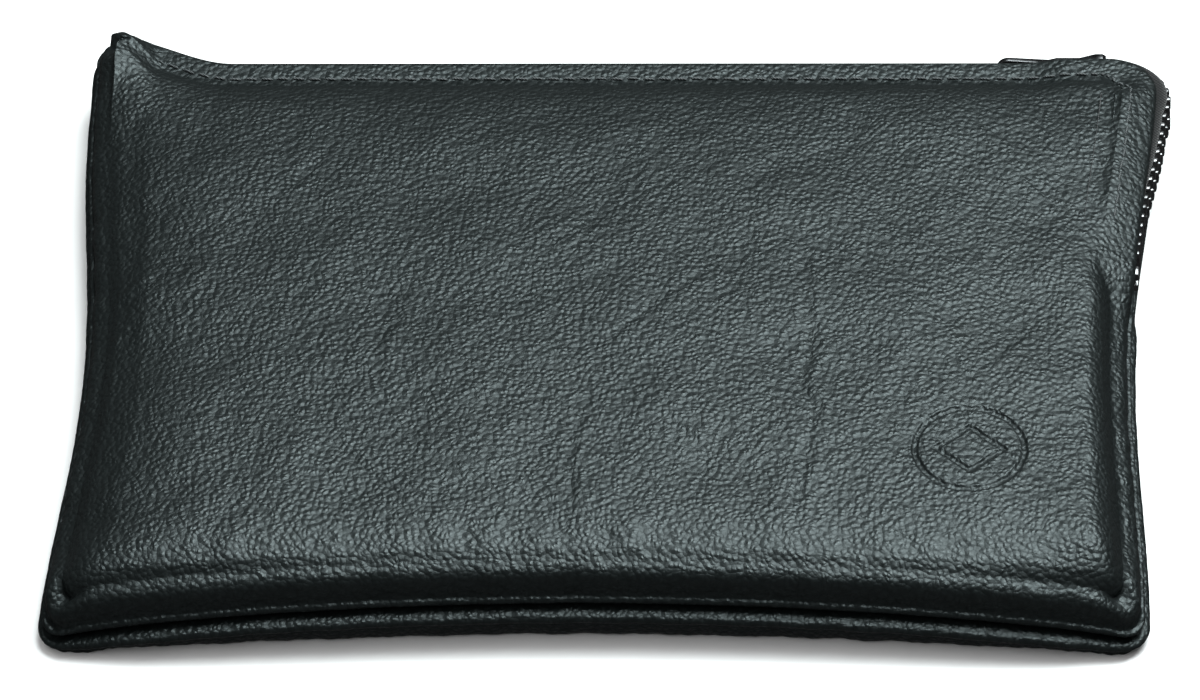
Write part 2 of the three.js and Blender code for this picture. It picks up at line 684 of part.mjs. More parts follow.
add("slider_body", makeSliderBody(), sliderMetal);
add("slider_crown", makeCrown(), sliderMetal);
add("slider_lock_spring", makeLockSpring(), sliderMetal);
add("pull_tab", makePullTab(), sliderMetal);

export default bag;
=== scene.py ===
import bpy
import math
import numpy as np
from mathutils import Matrix, Vector


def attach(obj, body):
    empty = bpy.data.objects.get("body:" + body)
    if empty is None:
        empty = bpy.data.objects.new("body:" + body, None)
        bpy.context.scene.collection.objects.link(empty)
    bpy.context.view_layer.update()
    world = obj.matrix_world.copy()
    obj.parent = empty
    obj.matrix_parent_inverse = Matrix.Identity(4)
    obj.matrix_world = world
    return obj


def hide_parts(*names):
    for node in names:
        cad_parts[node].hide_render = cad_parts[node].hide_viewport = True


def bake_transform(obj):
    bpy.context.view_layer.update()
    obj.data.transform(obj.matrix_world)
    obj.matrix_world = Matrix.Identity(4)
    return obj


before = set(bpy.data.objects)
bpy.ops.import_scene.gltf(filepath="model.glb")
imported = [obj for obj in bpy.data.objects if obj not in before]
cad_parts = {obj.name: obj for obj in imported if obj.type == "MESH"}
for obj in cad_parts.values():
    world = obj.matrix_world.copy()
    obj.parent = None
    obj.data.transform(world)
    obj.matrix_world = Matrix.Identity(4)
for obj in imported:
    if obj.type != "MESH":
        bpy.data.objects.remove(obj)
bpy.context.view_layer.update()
MM = 0.001
rng = np.random.default_rng(11)

# Outline, in millimetres
HALF_W, HALF_H = 125.0, 86.0
SEAM_CORNER, ZIP_CORNER = 6.0, 12.0  # corner radii
SIDE_PULL, BOTTOM_PULL = 5.0, 4.0  # how far the stuffed sides draw in between their corners
RIGHT_FILL = 1.2  # how much less the right side draws in
EAR = 9.0  # how far the flat top left corner stands out past the stuffed edge
TOP_FLARE, BOTTOM_FLARE = 3.6, 1.2  # how far the zipped corner and the opposite one stand out
TURN = 16.0  # over this length insets turn towards a corner, so that rings never cross

# Seam, hem and leather
LEATHER, LINING = 1.1, 0.8  # thicknesses
SEAM_RISE = 12.0  # height of the seam above the table
BOTTOM_CORNER_DROP, BOTTOM_DROP_LENGTH = 8.0, 30.0  # the seam sinks towards the bottom corners
TOP_CORNER_LIFT, TOP_LIFT_LENGTH = 5.0, 20.0  # and curls up at the top left corner
PINCH_SEAM = 6.0  # a seam lower than this has its lips pinched
LIP_TOP = 2.0  # rise of the lip above the seam, where the stuffed wall begins
SIDE_WALL = 0.46  # height of the side walls against the bottom wall
BOTTOM_SHELF = 1.2  # how much further the back lip stands out along the bottom
HEM = 8.5  # height of the hem above the seam's middle
HEM_TILT = 0.42  # slope of the right hem, which rises towards the stuffing

# Stuffed front and flat back
DOME, CROWN = 24.4, 2.8  # level of the front above the table, and its extra rise in the middle
LEFT_SHOULDER, RIGHT_SHOULDER, TOP_SHOULDER, BOTTOM_SHOULDER = 36.0, 15.0, 32.0, 24.0
BACK_SHOULDER = 5.0
LINING_GAP = 0.7  # between the front leather and its lining
BACK_LINING_GAP = 0.4
CREASE_DEPTH = 1.6  # all the creases are deepened by this
MARK_CENTRE, MARK_SIZE, MARK_DEPTH = (85.0, -45.0), 12.5, 0.5

# Zip
ZIP_LEFT, ZIP_RIGHT_END = -101.5, 24.0  # x of the closed chain's left end, y of its end on the right side
TOP_RUN = HALF_W + TOP_FLARE - ZIP_LEFT
CHAIN_LENGTH = TOP_RUN + HALF_H - ZIP_RIGHT_END
TOOTH_PITCH = 3.0
CHAIN_INNER, CHAIN_OUTER = 2.0, 4.4  # the chain's faces, outwards from the leather's edge
TAPE_THICK = 0.6
TAPE_INNER = (CHAIN_INNER + CHAIN_OUTER - TAPE_THICK) / 2
TAPE_HEM = 5.35  # the tape's lower face where it is sewn under the hem
TAPE_TURN_IN = 11.5  # how far the tape reaches in under the hem
MOUTH_GAPE = 1.5  # how much further apart the hems stand past the slider
ROW_SPREAD = 1.6  # how far each row leaves the middle in the slider
SLIDER_X = 110.5
STITCH_INSET, STITCH_PITCH, STITCH_HALF, STITCH_RADIUS = 6.0, 3.8, 1.62, 0.29

# How the front lifts when the mouth opens
MOUTH_END_Y = 18.0  # the sewn part of the right side ends about here
LOOSE_LEFT, LOOSE_RIGHT, LOOSE_BOTTOM = 110.0, 60.0, 120.0  # how far in from a sewn edge the leather lifts

CAMERA = {
    "azimuth": 4.3, "elevation": 46.0, "roll": -3.05, "distance": 2.14,
    "target": (-0.0015, 0.0008, 0.010), "focal": 7.66,
}


def smooth(value, start, stop):
    share = np.clip((value - start) / (stop - start), 0, 1)
    return share * share * (3 - 2 * share)


def hump(share):
    return np.where(np.abs(share) < 1, (1 - share**2) ** 2, 0)


def mix(a, b, share):
    return a + (b - a) * share


def quarter_round(share):
    return np.sqrt(1 - (1 - np.clip(share, 0, 1)) ** 2)


# ---------------------------------------------------------------- camera

def aim_camera(azimuth, elevation, roll, distance, target, focal):
    """The camera looks at the target from an azimuth counted from -Y towards +X. focal is in image widths."""
    data = bpy.data.cameras.new("camera")
    camera = bpy.data.objects.new("camera", data)
    bpy.context.scene.collection.objects.link(camera)
    az, el, tilt = (math.radians(a) for a in (azimuth, elevation, roll))
    back = Vector((math.sin(az) * math.cos(el), -math.cos(az) * math.cos(el), math.sin(el)))
    right = Vector((0, 0, 1)).cross(back).normalized()
    up = back.cross(right)
    right, up = (
        math.cos(tilt) * right + math.sin(tilt) * up,
        math.cos(tilt) * up - math.sin(tilt) * right,
    )
    matrix = Matrix((right, up, back)).transposed().to_4x4()
    matrix.translation = Vector(target) + distance * back
    camera.matrix_world = matrix
    data.sensor_width = 36.0
    data.lens = 36.0 * focal
    data.clip_end = 20
    bpy.context.scene.camera = camera


aim_camera(**CAMERA)


# ---------------------------------------------------------------- stations and shells

class Stations:
    """Places on the border of the square from -1 to 1, carried to the bag's outline."""

    def __init__(self, u, v):
        u, v = np.broadcast_arrays(np.asarray(u, float), np.asarray(v, float))
        on_side = np.abs(u) > 1 - 1e-9
        su, sv = np.sign(u), np.sign(v)
        radius = np.where((u > 0) & (v > 0), ZIP_CORNER, SEAM_CORNER)
        x, y = u * HALF_W, v * HALF_H
        cx = (np.abs(x) - (HALF_W - radius)) / radius
        cy = (np.abs(y) - (HALF_H - radius)) / radius
        corner = (cx > 0) & (cy > 0)
        cx, cy = np.clip(cx, 0, 1), np.clip(cy, 0, 1)
        rx, ry = cx * np.sqrt(1 - cy**2 / 2), cy * np.sqrt(1 - cx**2 / 2)
        x = np.where(corner, su * (HALF_W - radius + radius * rx), x)
        y = np.where(corner, sv * (HALF_H - radius + radius * ry), y)
        self.nx = np.where(corner, su * rx, np.where(on_side, su, 0))
        self.ny = np.where(corner, sv * ry, np.where(on_side, 0, sv))
        near_x = np.clip((np.abs(u) * HALF_W - HALF_W + TURN) / TURN, 0, 1)
        near_y = np.clip((np.abs(v) * HALF_H - HALF_H + TURN) / TURN, 0, 1)
        self.ix = np.where(on_side, su, su * near_x)
        self.iy = np.where(np.abs(v) > 1 - 1e-9, sv, sv * near_y)
        x = x - np.where(on_side, su * SIDE_PULL * hump(np.where(u > 0, v + 0.04, v + 0.12) / 0.9), 0)
        y = y + np.where(~on_side & (v < 0), BOTTOM_PULL * hump(u / 0.97), 0)
        x = x + TOP_FLARE * (1 + u) * (1 + v) ** 2 / 8 - BOTTOM_FLARE * (1 - u) * (1 - v) / 4
        x = x + np.where(on_side & (u > 0), RIGHT_FILL * hump((v + 0.04) / 0.9), 0)
        ear = np.where(on_side, smooth(v, 0.6, 1), smooth(-u, 0.74, 0.97))
        y = y + np.where((u < 0) & (v > 0), EAR * ear, 0)
        top, right = v > 1 - 1e-9, u > 1 - 1e-9
        # zip is 1 where the edge is hemmed to the zip and 0 where it is sewn.
        self.zip = np.maximum(
            np.where(top, smooth(x, -HALF_W + 2, -HALF_W + 17), 0), np.where(right, smooth(y, 4, 18), 0)
        )
        opened = np.where(on_side & (u > 0), smooth(y, 16, 42), smooth(x, SLIDER_X - 14, SLIDER_X - 2))
        self.gape = np.where(top | right, MOUTH_GAPE * opened, 0)
        # The chain sits back down the right side, and runs straight past the ear.
        down = np.where(right, HALF_H - y, 0)
        self.tuck = 2.0 * smooth(down, 5, 16) + 2.2 * smooth(down, 14, 48)
        self.tuck = self.tuck + np.where(top & (u < 0), EAR * ear, 0)
        self.hem_tilt = HEM_TILT * smooth(down, 0, 16)
        from_bottom = np.hypot(HALF_W - np.abs(x), HALF_H + y)
        from_top = np.hypot(HALF_W + x, HALF_H - y)
        self.seam = (
            SEAM_RISE
            - BOTTOM_CORNER_DROP * np.exp(-from_bottom / BOTTOM_DROP_LENGTH) * (1 - self.zip)
            + TOP_CORNER_LIFT * np.exp(-from_top / TOP_LIFT_LENGTH) * (1 - self.zip)
        )
        self.lip = np.clip(self.seam / PINCH_SEAM, 0.55, 1)
        self.wall = mix(1, SIDE_WALL, smooth(np.where(on_side, v, -1), -1, -0.7))
        self.shelf = np.where(v < -1 + 1e-9, BOTTOM_SHELF * smooth(1 - np.abs(u), 0, 0.2), 0)
        self.x, self.y = x, y

    def place(self, inset, rise, side):
        """Points at an inset and a rise from the stations. side is 1 for the front, -1 for the back."""
        inset, rise = np.broadcast_arrays(inset, rise)
        out = inset < 0
        return np.stack(
            [
                self.x - np.where(out, self.nx, self.ix) * inset,
                self.y - np.where(out, self.ny, self.iy) * inset,
                self.seam + side * rise,
            ],
            -1,
        )


def spacing(cells, focus=None):
    """Positions from -1 to 1, closer together near both ends and, if asked, round a focus (centre, width)."""
    fine = np.linspace(-1, 1, 4001)
    density = 0.55 + 0.9 * np.exp(-(1 - np.abs(fine)) / 0.06)
    if focus:
        density = density + 2.6 * (1 - smooth(np.abs(fine - focus[0]), focus[1], focus[1] * 1.35))
    total = np.concatenate([[0], np.cumsum((density[1:] + density[:-1]) / 2)])
    return np.interp(np.linspace(0, total[-1], cells + 1), total, fine)


def border(us, vs):
    """Stations round the border, from the lower left corner to the right, up, back and down."""
    ones = np.ones
    u = np.concatenate([us[:-1], ones(len(vs) - 1), us[:0:-1], -ones(len(vs) - 1)])
    v = np.concatenate([-ones(len(us) - 1), vs[:-1], ones(len(us) - 1), vs[:0:-1]])
    return Stations(u, v)


def fill(loop, us, vs, left_w, right_w, bottom_w, top_w):
    """Fills a loop of border points: each edge reaches inwards by its own weight, which is 1 on the edge."""
    nx, ny = len(us) - 1, len(vs) - 1
    bottom, right = loop[: nx + 1], loop[nx : nx + ny + 1]
    top = loop[nx + ny : 2 * nx + ny + 1][::-1]
    left = np.concatenate([loop[2 * nx + ny :], loop[:1]])[::-1]
    left_w, right_w = left_w[None, :, None], right_w[None, :, None]
    bottom_w, top_w = bottom_w[:, None, None], top_w[:, None, None]
    return (
        bottom_w * bottom[None]
        + top_w * top[None]
        + left_w * left[:, None]
        + right_w * right[:, None]
        - left_w * bottom_w * bottom[0]
        - right_w * bottom_w * bottom[-1]
        - left_w * top_w * top[0]
        - right_w * top_w * top[-1]
    )


def flat_fill(loop, us, vs):
    return fill(loop, us, vs, (1 - us) / 2, (1 + us) / 2, (1 - vs) / 2, (1 + vs) / 2)


def rounded(profile, passes):
    """Corner cutting on a polyline that keeps its ends."""
    points = np.asarray(profile, float)
    for _ in range(passes):
        a, b = points[:-1], points[1:]
        cut = np.stack([0.75 * a + 0.25 * b, 0.25 * a + 0.75 * b], 1).reshape(-1, points.shape[1])
        points = np.concatenate([points[:1], cut[1:-1], points[-1:]])
    return points


def new_object(name, points, faces, unit=MM):
    mesh = bpy.data.meshes.new(name)
    mesh.from_pydata((np.asarray(points) * unit).tolist(), [], [list(map(int, f)) for f in faces])
    mesh.validate()
    mesh.update()
    mesh.shade_smooth()
    piece = bpy.data.objects.new(name, mesh)
    bpy.context.scene.collection.objects.link(piece)
    return piece


def face_out(points, faces):
    """Turns quads right side out by the sign of the enclosed volume."""
    p, f = np.asarray(points), np.asarray(faces)
    tri = np.concatenate([f[:, [0, 1, 2]], f[:, [0, 2, 3]]])
    volume = np.einsum("ij,ij->", p[tri[:, 0]], np.cross(p[tri[:, 1]], p[tri[:, 2]]))
    return f[:, ::-1] if volume < 0 else f


def shell(name, us, vs, side, profile, outer, inner):
    """A closed shell from a profile of rows (sewn inset, sewn rise, hem inset, hem rise, pinch).
    outer and inner make the surfaces that close the first and the last ring."""
    at = border(us, vs)
    count, nx, ny = len(at.x), len(us) - 1, len(vs) - 1
    rings = []
    for sewn_inset, sewn_rise, hem_inset, hem_rise, pinch in profile:
        height = sewn_rise * (1 + pinch * (at.lip - 1))
        if side > 0:
            lean = (1 - at.wall) * 0.5 * max(sewn_inset - 1.5, 0)
            height = np.where(height > LIP_TOP, LIP_TOP + (height - LIP_TOP) * at.wall + lean, height)
        tilt = at.hem_tilt * hem_inset if side > 0 else 0
        rise = mix(height, hem_rise + at.gape + tilt, at.zip)
        sewn = sewn_inset - at.shelf if side < 0 and sewn_inset < 0 else sewn_inset
        rings.append(at.place(mix(sewn, hem_inset, at.zip), rise, side))
    rings = pucker(at, rings, profile, side)
    points, faces = [np.concatenate(rings)], []
    k = np.arange(count)
    n = (k + 1) % count
    for r in range(len(rings) - 1):
        this, after = r * count, (r + 1) * count
        faces.append(np.stack([this + k, this + n, after + n, after + k], 1))
    size = len(points[0])
    for ring_index, shape, flip in ((0, outer, True), (len(rings) - 1, inner, False)):
        grid = shape(rings[ring_index], us, vs)
        index = np.empty((ny + 1, nx + 1), int)
        base = ring_index * count
        index[0, :] = base + np.arange(nx + 1)
        index[:, nx] = base + nx + np.arange(ny + 1)
        index[ny, :] = base + 2 * nx + ny - np.arange(nx + 1)
        index[1:, 0] = base + 2 * nx + 2 * ny - np.arange(1, ny + 1)
        index[1:-1, 1:-1] = size + np.arange((nx - 1) * (ny - 1)).reshape(ny - 1, nx - 1)
        points.append(grid[1:-1, 1:-1].reshape(-1, 3))
        size += len(points[-1])
        quads = np.stack([index[:-1, :-1], index[:-1, 1:], index[1:, 1:], index[1:, :-1]], -1)
        quads = quads.reshape(-1, 4)
        faces.append(quads[:, ::-1] if flip else quads)
    points = np.concatenate(points)
    faces = face_out(points, np.concatenate(faces))
    return new_object(name, points, faces)


# ---------------------------------------------------------------- smooth noise and leather relief

def wave_noise(x, y, wavelength, seed, octaves=1):
    """Smooth seeded noise of about unit size: a sum of plane waves in random directions."""
    waves = np.random.default_rng(seed)
    total = np.zeros(np.broadcast(x, y).shape)
    for octave in range(octaves):
        for _ in range(14):
            angle = waves.uniform(0, 2 * math.pi)
            k = 2 * math.pi / (wavelength * waves.uniform(0.7, 1.5) / 2**octave)
            across = x * math.cos(angle) + y * math.sin(angle)
            total += np.cos(k * across + waves.uniform(0, 6.3)) / 2**octave
    return total / math.sqrt(7)


def pucker(at, rings, profile, side):
    """Gathers the sewn lips a little, as the stitches pull them."""
    along = np.concatenate([[0], np.cumsum(np.hypot(np.diff(at.x), np.diff(at.y)))])
    gather = (
        0.6 * np.sin(2 * math.pi * along / 3.9 + 2.2 * wave_noise(along, 0 * along, 40, 3))
        + 0.7 * wave_noise(along, 0 * along, 11, 5 + side)
    )
    sewn = 1 - at.zip
    moved = []
    for ring, (inset, rise, *_rest, pinch) in zip(rings, profile):
        strength = pinch * math.exp(-(((inset - 1.6) / 2.2) ** 2)) * (0.22 if side < 0 else 0.13)
        offset = gather * strength * sewn
        moved.append(ring + np.stack([at.nx * offset, at.ny * offset, side * 0.7 * offset], 1))
    return moved


def stroke(x, y, path, width, depth):
    """A crease along a path: a soft valley with a raised shoulder on one side. Its ends fade."""
    path = np.asarray(path, float)
    best = np.full(np.shape(x), 1e9)
    signed = np.zeros(np.shape(x))
    share = np.zeros(np.shape(x))
    lengths = np.hypot(*np.diff(path, axis=0).T)
    total, run = lengths.sum(), 0.0
    for (a, b), length in zip(zip(path[:-1], path[1:]), lengths):
        d = (b - a) / length
        t = np.clip((x - a[0]) * d[0] + (y - a[1]) * d[1], 0, length)
        ox, oy = x - a[0] - t * d[0], y - a[1] - t * d[1]
        dist = np.hypot(ox, oy)
        near = dist < best
        best = np.where(near, dist, best)
        signed = np.where(near, ox * -d[1] + oy * d[0], signed)
        share = np.where(near, (run + t) / total, share)
        run += length
    fade = np.sin(math.pi * np.clip(share, 0.02, 0.98)) ** 0.6
    valley = -np.exp(-((best / width) ** 2))
    shoulder = 0.7 * np.exp(-(((signed - 1.7 * width) / (1.2 * width)) ** 2)) * (best < 6 * width)
    return depth * fade * (valley + shoulder)


# Creases in the front: (points in millimetres, half width, depth)
CREASES = [
    ([(46, 22), (47, 2), (49, -14), (46, -25), (50, -33), (48, -50), (46, -63), (47, -76)], 0.8, 0.34),
    ([(-2, -29), (-4, -38), (-6, -46), (-5, -60), (-6, -70)], 0.8, 0.26),
    ([(-66, 53), (-71, 44), (-78, 35)], 0.7, 0.36),
    ([(-1, 28), (-10, 21), (-15, 17)], 0.7, 0.3),
    ([(-28, 17), (-17, 3), (-12, -4)], 0.6, 0.26),
    ([(26, 12), (12, -1), (2, -12), (-5, -16)], 0.8, 0.24),
    ([(-62, -41), (-52, -52), (-44, -60)], 0.8, 0.24),
    ([(-56, -44), (-46, -54), (-40, -60)], 0.7, 0.2),
    ([(-22, -75), (-16, -80), (-11, -83)], 0.6, 0.3),
    ([(-4, -76), (2, -81), (7, -84)], 0.7, 0.4),
    ([(2, -77), (7, -81), (12, -84)], 0.6, 0.36),
    ([(34, -76), (42, -79), (52, -78), (60, -80)], 0.7, 0.24),
    ([(16, -36), (22, -43), (26, -47)], 0.7, 0.2),
    ([(100, 50), (92, 56), (84, 62)], 0.7, 0.24),
    ([(108, 30), (101, 38), (96, 44)], 0.7, 0.26),
    ([(-118, -2), (-110, 6), (-102, 12)], 0.8, 0.32),
    ([(-120, -20), (-113, -10), (-108, -2)], 0.8, 0.3),
    ([(98, -8), (91, -16), (86, -22)], 0.6, 0.22),
    ([(-48, -4), (-52, -14), (-50, -26)], 0.9, 0.2),
]


def mark(x, y):
    """The debossed sign: a ring with a rhombus inside it, both drawn as grooves."""
    dx, dy = x - MARK_CENTRE[0], y - MARK_CENTRE[1]
    ring = np.abs(np.hypot(dx, dy) - MARK_SIZE)
    rhombus = np.abs(np.abs(dx) + np.abs(dy) * 1.15 - MARK_SIZE * 0.62) / 1.45
    return -MARK_DEPTH * (1 - smooth(np.minimum(ring, rhombus), 0.35, 0.95))


def grid_normals(grid):
    du = np.gradient(grid, axis=1)
    dv = np.gradient(grid, axis=0)
    n = np.cross(du, dv)
    return n / np.linalg.norm(n, axis=-1, keepdims=True)


def shoulder(distance, reach):
    """An edge's share in the height at a distance from it: 1 on the edge, 0 past its reach."""
    return (1 - np.clip(distance / reach, 0, 1)) ** 2


def front_base(level):
    """The stuffed dome: a level with rounded shoulders at the edges, and a shallow crown."""
    def surface(loop, us, vs):
        grid = flat_fill(loop, us, vs)
        heights = fill(
            loop[:, 2:] - level, us, vs,
            shoulder((1 + us) * HALF_W, LEFT_SHOULDER),
            shoulder((1 - us) * HALF_W, RIGHT_SHOULDER),
            shoulder((1 + vs) * HALF_H, BOTTOM_SHOULDER),
            shoulder((1 - vs) * HALF_H, TOP_SHOULDER),
        )
        crown = CROWN * (1 - us[None, :] ** 2) * (1 - vs[:, None] ** 2)
        grid[..., 2] = level + heights[..., 0] + crown
        return grid

    return surface


def edge_distance(us, vs):
    """How far each grid point is from the nearest edge, in millimetres."""
    return np.minimum((1 - np.abs(us[None, :])) * HALF_W, (1 - np.abs(vs[:, None])) * HALF_H)


def front_surface(loop, us, vs):
    grid = front_base(DOME)(loop, us, vs)
    x, y = grid[..., 0], grid[..., 1]
    inside = smooth(edge_distance(us, vs), 0.0, 14.0)
    relief = 0.14 * wave_noise(x, y, 42, 21) + 0.05 * wave_noise(x, y, 17, 22, 2)
    for path, width, depth in CREASES:
        relief = relief + stroke(x, y, path, width, CREASE_DEPTH * depth)
    # Short gathers run inwards from the sewn edges.
    u, v = us[None, :], vs[:, None]
    from_bottom, from_side = (1 + v) * HALF_H, (1 - np.abs(u)) * HALF_W
    gathers = wave_noise(x, 0.22 * y, 9, 31) * np.exp(-(((from_bottom - 7) / 8) ** 2))
    gathers = gathers + wave_noise(0.22 * x, y, 10, 32) * np.exp(-(((from_side - 8) / 9) ** 2))
    relief = relief + 0.14 * gathers
    return grid + grid_normals(grid) * (relief * inside + mark(x, y))[..., None]


def back_surface(level, relief_size):
    """A flat back at a level, with a curved border and, if asked, small hollows just inside it."""
    def surface(loop, us, vs):
        from_side = (1 - np.abs(us[None, :])) * HALF_W
        from_end = (1 - np.abs(vs[:, None])) * HALF_H
        flat = quarter_round(from_side / BACK_SHOULDER) * quarter_round(from_end / BACK_SHOULDER)
        out = flat_fill(loop, us, vs)
        out[..., 2] = mix(out[..., 2], level, flat)
        if relief_size:
            relief = relief_size * wave_noise(out[..., 0], out[..., 1], 13, 41, 2)
            ring = smooth(edge_distance(us, vs), 0, 5) * (1 - smooth(edge_distance(us, vs), 9, 16))
            out[..., 2] -= np.minimum(relief * ring, out[..., 2])
        return out

    return surface


# ---------------------------------------------------------------- leather panels and linings

def front_profile():
    """Down the stuffed wall, round the lip, along the seam allowance and back up inside."""
    outside = rounded(
        [
            [5.0, 11.0, 8, HEM, 1],
            [3.2, 10.4, 4, HEM + 0.2, 1],
            [1.6, 9.0, 1, HEM + 0.2, 1],
            [1.1, 6.4, 0.3, HEM - 0.1, 1],
            [1.3, 3.0, 0, HEM - 0.6, 1],
            [0.2, 2.6, 0, HEM - 1.0, 1],
            [0.0, 1.5, 0.2, HEM - 1.4, 1],
            [0.9, 0.5, 0.8, HEM - 1.7, 1],
            [3.4, 0.25, 2.5, HEM - 1.9, 0],
            [8, 0.25, 8, HEM - 1.9, 0],
        ],
        2,
    )
    inside = rounded(
        [
            [8, 0.25 + LEATHER, 8.2, HEM - LEATHER, 0],
            [4.0, 0.25 + LEATHER, 8.6, HEM - LEATHER, 0],
            [2.9, 2.6, 8.8, HEM - LEATHER, 1],
            [2.8, 7.0, 9, HEM - LEATHER, 1],
            [3.6, 9.0, 9.3, HEM - LEATHER, 1],
            [6.0, 9.9, 9.6, HEM - LEATHER, 1],
        ],
        1,
    )
    return np.concatenate([outside, inside])


def back_profile():
    """The same for the back panel, whose lip stands out a little further."""
    outside = rounded(
        [
            [0.4, 5.6, 8, HEM, 1],
            [0.6, 4.6, 1, HEM + 0.2, 1],
            [0.7, 3.9, 0.4, HEM - 0.1, 1],
            [-0.6, 3.4, 0, HEM - 0.8, 1],
            [-1.2, 2.2, 0.2, HEM - 1.4, 1],
            [-0.4, 0.9, 0.8, HEM - 1.7, 1],
            [3.4, 0.25, 2.5, HEM - 1.9, 0],
            [8, 0.25, 8, HEM - 1.9, 0],
        ],
        2,
    )
    inside = rounded(
        [
            [8, 0.25 + LEATHER, 8.2, HEM - LEATHER, 0],
            [3.4, 0.25 + LEATHER, 8.6, HEM - LEATHER, 0],
            [2.2, 2.4, 9, HEM - LEATHER, 1],
            [1.6, 4.6, 9.5, HEM - LEATHER, 1],
        ],
        1,
    )
    return np.concatenate([outside, inside])


LINING_PROFILE = np.array([[9.6, 1.2 + LINING, 13, 6.1 + LINING, 0], [9.6, 1.2, 13, 6.1, 0]])

# The grid is finer round the mark.
mark_focus_u = (MARK_CENTRE[0] / HALF_W, (MARK_SIZE + 2) / HALF_W)
mark_focus_v = (MARK_CENTRE[1] / HALF_H, (MARK_SIZE + 2) / HALF_H)
front_leather = shell(
    "front_leather", spacing(300, mark_focus_u), spacing(220, mark_focus_v), 1,
    front_profile(), front_surface, front_base(DOME - LEATHER),
)
back_leather = shell(
    "back_leather", spacing(180), spacing(130), -1,
    back_profile(), back_surface(0.0, 0.12), back_surface(LEATHER, 0),
)
front_level, back_level = DOME - LEATHER - LINING_GAP, LEATHER + BACK_LINING_GAP
front_cloth = shell(
    "front_cloth", spacing(60), spacing(44), 1, LINING_PROFILE,
    front_base(front_level), front_base(front_level - LINING),
)
back_cloth = shell(
    "back_cloth", spacing(60), spacing(44), -1, LINING_PROFILE,
    back_surface(back_level, 0), back_surface(back_level + LINING, 0),
)


# ---------------------------------------------------------------- zip

def zip_stations(along):
    """Stations at distances along the zip from the closed chain's left end."""
    along = np.asarray(along, float)
    on_top = along <= TOP_RUN
    x = ZIP_LEFT + along
    u = np.where(on_top, np.clip((x - TOP_FLARE / 2) / (HALF_W + TOP_FLARE / 2), -1, 1), 1.0)
    v = np.where(on_top, 1.0, (HALF_H - (along - TOP_RUN)) / HALF_H)
    at = Stations(u, v)
    at.along = along
    return at


def spread(along):
    """How far each row has left the middle of the chain."""
    x = ZIP_LEFT + along
    right = mix(0.9, ROW_SPREAD, smooth(HALF_H - (along - TOP_RUN), ZIP_RIGHT_END, 60))
    return np.where(along <= TOP_RUN, ROW_SPREAD * smooth(x, SLIDER_X - 2.5, SLIDER_X + 4), right)


def sweep(name, at, section, side):
    """A closed tube: section gives arrays of (outwards, rise) per station, shaped stations x points x 2."""
    n, m = section.shape[:2]
    points = np.stack([at.place(-section[:, i, 0], section[:, i, 1], side) for i in range(m)], 1)
    k, i = np.meshgrid(np.arange(n - 1), np.arange(m), indexing="ij")
    j = (i + 1) % m
    quads = np.stack([k * m + i, k * m + j, (k + 1) * m + j, (k + 1) * m + i], -1).reshape(-1, 4)
    if side > 0:
        quads = quads[:, ::-1]
    caps = [list(range(m)), [(n - 1) * m + i for i in range(m)][::-1]]
    if side < 0:
        caps = [c[::-1] for c in caps]
    return new_object(name, points.reshape(-1, 3), quads.tolist() + caps)


def tape_piece(name, side):
    """Half of the zip tape: from under the hem round to the mouth, and on behind its row of teeth."""
    at = zip_stations(np.arange(0.4, CHAIN_LENGTH + 0.01, 0.9))
    move, open_by = spread(at.along), at.gape
    row = 2.9 + move
    straight = np.maximum(row + 0.9, 3.9 + move)
    turn = np.maximum(TAPE_HEM + TAPE_THICK + open_by, straight + 0.5)
    tuck = at.tuck
    zero = np.zeros(len(at.x))
    weave = 0.03 * np.sin(2 * math.pi * at.along / 1.8)
    inner, outer = TAPE_INNER + zero, TAPE_INNER + TAPE_THICK + zero
    section = [
        (zero - TAPE_TURN_IN, TAPE_HEM + open_by),
        (-0.6 - tuck, TAPE_HEM + open_by),
        (1.6 - tuck, turn - TAPE_THICK),
        (inner - 0.5 - tuck, straight + 0.45),
        (inner - tuck, straight),
        (inner + weave - tuck, row),
        (outer + weave - tuck, row),
        (outer - tuck, straight + 0.2),
        (outer - 0.35 - tuck, straight + 0.75),
        (2 - tuck, turn),
        (-0.4 - tuck, turn),
        (zero - TAPE_TURN_IN, TAPE_HEM + TAPE_THICK + open_by),
    ]
    return sweep(name, at, np.stack([np.stack(s, -1) for s in section], 1), side)


def tape_end_piece(name, side):
    """The frayed raw end of the tape, which sticks out of the seam at the top left corner."""
    left = -120.4 if side > 0 else -123.4
    ends = [2.1, 3.2, 2.7, 3.4, 1.9] if side > 0 else [1.6, 2.9, 2.3, 3.0, 2.2]
    count = 33
    steps = np.linspace(0, 3.6, count)
    out = np.interp(steps, np.arange(5) * 0.9, ends) + rng.uniform(-0.5, 0.5, count)
    at = zip_stations(left - ZIP_LEFT + steps)
    rise = 0.29 + 0.08 * np.sin(steps * 5)
    root = np.full(count, -2.0)
    section = [
        (root, rise - 0.2), (out - 0.2, rise - 0.2), (out, rise), (out - 0.2, rise + 0.2), (root, rise + 0.2),
    ]
    return sweep(name, at, np.stack([np.stack(s, -1) for s in section], 1), side)


